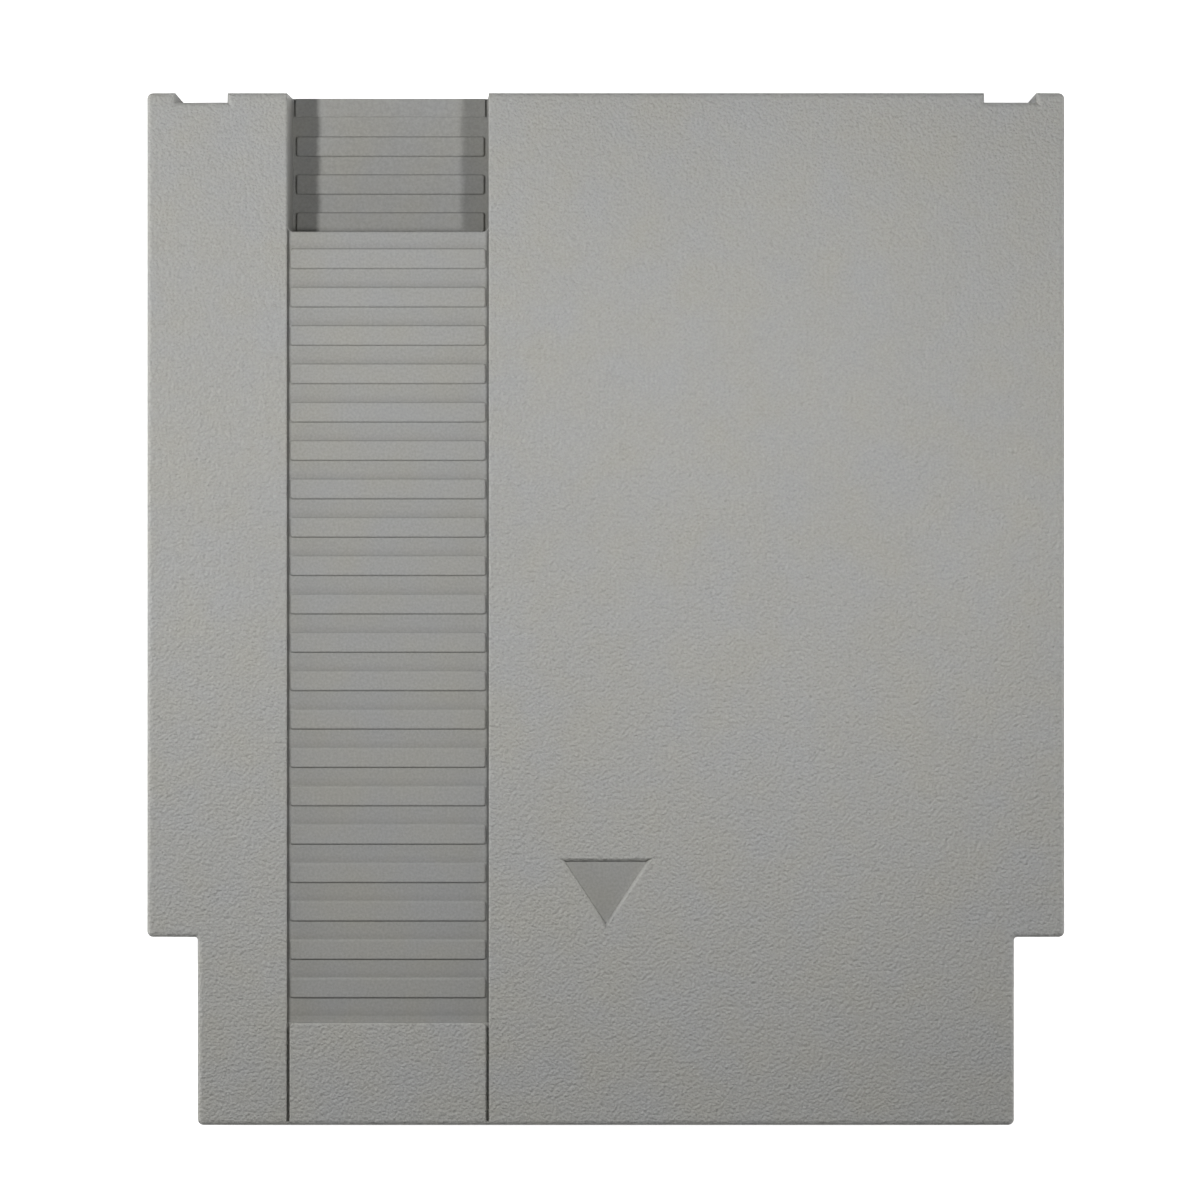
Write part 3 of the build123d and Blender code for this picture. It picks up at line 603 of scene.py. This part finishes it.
def tracks(settings, z, thickness):
    """Printed tracks from a row of contacts, each ending in a ring."""
    count, pitch, first_x = contact_row()
    parts = []
    for turn, length in enumerate((settings.short_track, settings.long_track)):
        x = first_x + turn * pitch
        hole = settings.via_diameter / 2
        run = strip(settings.track_width, length, (x, CONTACT_HIGH.y, z))
        eye_y = CONTACT_HIGH.y + length + settings.via_diameter * RING_OVERHANG
        eye = ring(settings.via_diameter, hole, (x, eye_y, z))
        for item in (run, eye):
            solidify(item, thickness)
            repeat(item, (count + 1 - turn) // 2, (2 * pitch, 0, 0))
            parts.append(item)
    return parts


def lead_rows(chip):
    """The first place, the number and the pitch of each of a chip's two rows of leads."""
    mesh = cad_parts[chip + "_pins"].data
    low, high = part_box(chip + "_pins")
    ends = sorted({round(vertex.co.y, 5) for vertex in mesh.vertices if vertex.co.z < BOARD_LOW.z - MM})
    count = len(ends) // 2
    pitch = (ends[-2] - ends[0]) / (count - 1)
    first_y = (ends[0] + ends[1]) / 2
    inset = CHIP_LEAD_THICKNESS / 2
    return [((x, first_y, BOARD_HIGH.z), count, pitch) for x in (low.x + inset, high.x - inset)]


class OBJECT_OT_finish_case(bpy.types.Operator):
    """Gives both shells their moulded plastic"""

    bl_idname = "object.finish_case"
    bl_label = "Finish case"

    def execute(self, context):
        dress(case_plastic(context.scene.cartridge_case), "front_shell", "rear_shell")
        return {"FINISHED"}


class OBJECT_OT_finish_board(bpy.types.Operator):
    """Gives the board, its contacts and what is soldered to it their finishes"""

    bl_idname = "object.finish_board"
    bl_label = "Finish board"

    def execute(self, context):
        dress(board_laminate(context.scene.cartridge_board), "circuit_board")
        gold = metal(
            "Contact gold", colour=(0.8, 0.55, 0.19), roughness=0.24, rub=0.3 * MM, stretch=(1.0, 0.08, 1.0))
        dress(gold, "front_contacts", "rear_contacts")
        epoxy = moulded(
            "Chip epoxy", colour=(0.018, 0.018, 0.019), roughness=0.55, lump=0.12 * MM, depth=0.01 * MM)
        tin = metal("Lead tin", colour=(0.6, 0.59, 0.56), roughness=0.35, rub=0.4 * MM)
        for chip in CHIPS:
            dress(epoxy, chip + "_body")
            dress(tin, chip + "_pins")
        dress(tin, "electrolytic_leads", "bypass_capacitor_left_leads", "bypass_capacitor_right_leads")
        aluminium = metal("Can aluminium", colour=(0.72, 0.72, 0.71), roughness=0.3, rub=0.3 * MM)
        dress(aluminium, "electrolytic_can")
        dress(sleeve_film(), "electrolytic_sleeve")
        rubber = moulded(
            "Bung rubber", colour=(0.018, 0.018, 0.018), roughness=0.75, lump=0.2 * MM, depth=0.01 * MM)
        dress(rubber, "electrolytic_bung")
        dip = moulded(
            "Dipped ceramic", colour=(0.5, 0.2, 0.045), roughness=0.22, lump=1.1 * MM, depth=0.04 * MM)
        dress(dip, "bypass_capacitor_left", "bypass_capacitor_right")
        solder = metal("Solder", colour=(0.64, 0.64, 0.63), roughness=0.26, rub=0.5 * MM)
        dress(solder, "solder_joints")
        return {"FINISHED"}


class OBJECT_OT_add_tracks(bpy.types.Operator):
    """Adds the printed tracks on both sides of the board"""

    bl_idname = "object.add_tracks"
    bl_label = "Add tracks"

    def execute(self, context):
        settings = context.scene.cartridge_board
        copper = covered_copper(settings)
        front = tracks(settings, BOARD_HIGH.z, settings.copper_height)
        complete("front_tracks", copper, front)
        rear = tracks(settings, BOARD_LOW.z, -settings.copper_height)
        complete("rear_tracks", copper, rear)
        return {"FINISHED"}


class OBJECT_OT_add_pads(bpy.types.Operator):
    """Adds the tinned rings around the chips' leads"""

    bl_idname = "object.add_pads"
    bl_label = "Add pads"

    def execute(self, context):
        settings = context.scene.cartridge_board
        parts = []
        for chip in CHIPS:
            for place, count, pitch in lead_rows(chip):
                pad = ring(settings.pad_diameter, settings.hole_diameter, place)
                solidify(pad, settings.copper_height)
                repeat(pad, count, (0, pitch, 0))
                parts.append(pad)
        tin = metal("Pad tin", colour=(0.62, 0.61, 0.58), roughness=0.3, rub=0.4 * MM)
        complete("lead_pads", tin, parts)
        return {"FINISHED"}


class OBJECT_OT_add_legend(bpy.types.Operator):
    """Adds the printed outlines around the chips"""

    bl_idname = "object.add_legend"
    bl_label = "Add legend"

    def execute(self, context):
        settings = context.scene.cartridge_board
        margin = settings.legend_margin
        parts = []
        for chip in CHIPS:
            body_low, body_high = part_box(chip + "_body")
            pins_low, pins_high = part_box(chip + "_pins")
            low = (pins_low.x - margin, body_low.y - margin)
            high = (pins_high.x + margin, body_high.y + margin)
            outline = border(low, high, settings.legend_line, BOARD_HIGH.z)
            solidify(outline, settings.copper_height)
            parts.append(outline)
        complete("board_legend", flat_ink(), parts)
        return {"FINISHED"}


class OBJECT_OT_add_threads(bpy.types.Operator):
    """Gives the case screws their plating and their threads"""

    bl_idname = "object.add_threads"
    bl_label = "Add threads"

    def execute(self, context):
        settings = context.scene.cartridge_screw
        steel = metal("Screw steel", colour=(0.52, 0.51, 0.48), roughness=0.33, rub=0.5 * MM)
        dress(steel, "case_screws")
        tooth = (settings.crest - settings.core) / 2
        parts = []
        for x, y in SCREW_PLACES:
            start_fresh()
            middle = settings.core / 2 + tooth / 3
            bpy.ops.mesh.primitive_circle_add(vertices=3, radius=tooth * 2 / 3, location=(middle, 0, 0))
            bpy.ops.transform.rotate(value=radians(-90), orient_axis="Z", center_override=(middle, 0, 0))
            bpy.ops.transform.rotate(value=radians(90), orient_axis="X", center_override=(middle, 0, 0))
            bpy.ops.object.transform_apply(location=True, rotation=True, scale=True)
            item = bpy.context.active_object
            modifier = item.modifiers.new("Helix", "SCREW")
            modifier.axis = "Z"
            modifier.screw_offset = settings.pitch
            modifier.iterations = settings.turns
            modifier.steps = modifier.render_steps = THREAD_STEPS
            bpy.ops.object.modifier_apply(modifier=modifier.name)
            bpy.ops.object.mode_set(mode="EDIT")
            bpy.ops.mesh.select_all(action="SELECT")
            bpy.ops.mesh.fill_holes(sides=3)
            bpy.ops.object.mode_set(mode="OBJECT")
            bpy.ops.transform.translate(value=(x, y, settings.start))
            parts.append(item)
        complete("screw_threads", steel, parts)
        return {"FINISHED"}


class SCENE_OT_build_studio(bpy.types.Operator):
    """Sets up the floor, the lamps, the white surroundings and the camera"""

    bl_idname = "scene.build_studio"
    bl_label = "Build studio"

    def execute(self, context):
        settings = context.scene.cartridge_studio
        self.add_floor(settings)
        self.add_lamps(settings)
        self.add_surroundings(context, settings)
        self.add_camera(context, settings)
        context.scene.view_settings.view_transform = "Standard"
        return {"FINISHED"}

    def add_floor(self, settings):
        """A pale floor that looks white in the picture and still takes the cartridge's shadow."""
        start_fresh()
        bpy.ops.mesh.primitive_plane_add(size=settings.floor_width, location=(0, 0, -FLOOR_GAP))
        floor = bpy.context.active_object
        floor.name = "studio_floor"
        material = bpy.data.materials.new("Floor paper")
        material.use_nodes = True
        tree = material.node_tree
        paper = tree.nodes["Principled BSDF"]
        paper.inputs["Base Color"].default_value = (0.88, 0.88, 0.88, 1.0)
        paper.inputs["Roughness"].default_value = 0.9
        glow = tree.nodes.new("ShaderNodeEmission")
        self.shine_for_sight(tree, glow.inputs["Strength"], settings.floor_glow, 0.0)
        total = tree.nodes.new("ShaderNodeAddShader")
        tree.links.new(paper.outputs["BSDF"], total.inputs[0])
        tree.links.new(glow.outputs["Emission"], total.inputs[1])
        tree.links.new(total.outputs["Shader"], tree.nodes["Material Output"].inputs["Surface"])
        floor.data.materials.append(material)

    @staticmethod
    def shine_for_sight(tree, socket, seen, unseen):
        """Feeds a socket one value for what the camera sees, mirrored or not, and one for other light."""
        path = tree.nodes.new("ShaderNodeLightPath")
        share = path.outputs["Is Camera Ray"]
        for name in ("Is Glossy Ray", "Is Transmission Ray"):
            either = tree.nodes.new("ShaderNodeMath")
            either.operation = "MAXIMUM"
            tree.links.new(share, either.inputs[0])
            tree.links.new(path.outputs[name], either.inputs[1])
            share = either.outputs["Value"]
        scale = tree.nodes.new("ShaderNodeMath")
        scale.operation = "MULTIPLY_ADD"
        tree.links.new(share, scale.inputs[0])
        scale.inputs[1].default_value = seen - unseen
        scale.inputs[2].default_value = unseen
        tree.links.new(scale.outputs["Value"], socket)

    @staticmethod
    def add_lamps(settings):
        """One lamp above each side of the grip strip, and four low ones round the cartridge."""
        face = Vector((0, 0, FACE_Z))
        aim = face + Vector(settings.lamp_aim)
        reach, height = settings.side_reach, settings.side_height
        lamps = (
            ("left_lamp", settings.left_lamp, aim, settings.lamp_size, settings.left_power),
            ("right_lamp", settings.right_lamp, aim, settings.lamp_size, settings.right_power),
            ("left_side_lamp", (-reach, 0, height), face, settings.side_size, settings.left_side_power),
            ("right_side_lamp", (reach, 0, height), face, settings.side_size, settings.right_side_power),
            ("top_end_lamp", (0, reach, height), face, settings.side_size, settings.end_power),
            ("bottom_end_lamp", (0, -reach, height), face, settings.side_size, settings.end_power),
        )
        for name, offset, target, size, power in lamps:
            place = face + Vector(offset)
            bpy.ops.object.light_add(type="AREA", location=place)
            lamp = bpy.context.active_object
            lamp.name = name
            lamp.data.shape = "DISK"
            lamp.data.size = size
            lamp.data.energy = power
            lamp.rotation_euler = (target - place).to_track_quat("-Z", "Y").to_euler()

    def add_surroundings(self, context, settings):
        """White all round for the eye, and a little light from everywhere."""
        world = bpy.data.worlds.new("Studio")
        context.scene.world = world
        world.use_nodes = True
        background = world.node_tree.nodes["Background"]
        background.inputs["Color"].default_value = (1.0, 1.0, 1.0, 1.0)
        self.shine_for_sight(world.node_tree, background.inputs["Strength"], 1.0, settings.fill)

    @staticmethod
    def add_camera(context, settings):
        """A camera straight above the front face."""
        place = (*settings.view_middle, FACE_Z + settings.camera_height)
        bpy.ops.object.camera_add(location=place, rotation=(0, 0, 0))
        camera = bpy.context.active_object
        camera.data.lens = camera.data.sensor_width * settings.camera_height / settings.view_width
        context.scene.camera = camera


class VIEW3D_PT_cartridge(bpy.types.Panel):
    """Sizes, colours and steps of the cartridge"""

    bl_idname = "VIEW3D_PT_cartridge"
    bl_label = "Game cartridge"
    bl_space_type = "VIEW_3D"
    bl_region_type = "UI"
    bl_category = "Cartridge"

    def draw(self, context):
        for title, group in SETTINGS.items():
            settings = getattr(context.scene, title)
            box = self.layout.box()
            for name in group.__annotations__:
                box.prop(settings, name)
        for operator in OPERATORS:
            self.layout.operator(operator.bl_idname)


SETTINGS = {
    "cartridge_case": CaseFinish,
    "cartridge_board": BoardFinish,
    "cartridge_screw": ScrewThread,
    "cartridge_studio": StudioSetup,
}
OPERATORS = (
    OBJECT_OT_finish_case,
    OBJECT_OT_finish_board,
    OBJECT_OT_add_tracks,
    OBJECT_OT_add_pads,
    OBJECT_OT_add_legend,
    OBJECT_OT_add_threads,
    SCENE_OT_build_studio,
)
CLASSES = (*SETTINGS.values(), *OPERATORS, VIEW3D_PT_cartridge)


def register():
    for item in CLASSES:
        bpy.utils.register_class(item)
    for title, group in SETTINGS.items():
        setattr(bpy.types.Scene, title, PointerProperty(type=group))


def unregister():
    for title in SETTINGS:
        delattr(bpy.types.Scene, title)
    for item in reversed(CLASSES):
        bpy.utils.unregister_class(item)


def main():
    register()
    bpy.ops.object.finish_case()
    bpy.ops.object.finish_board()
    bpy.ops.object.add_tracks()
    bpy.ops.object.add_pads()
    bpy.ops.object.add_legend()
    bpy.ops.object.add_threads()
    bpy.ops.scene.build_studio()


if __name__ == "__main__":
    main()
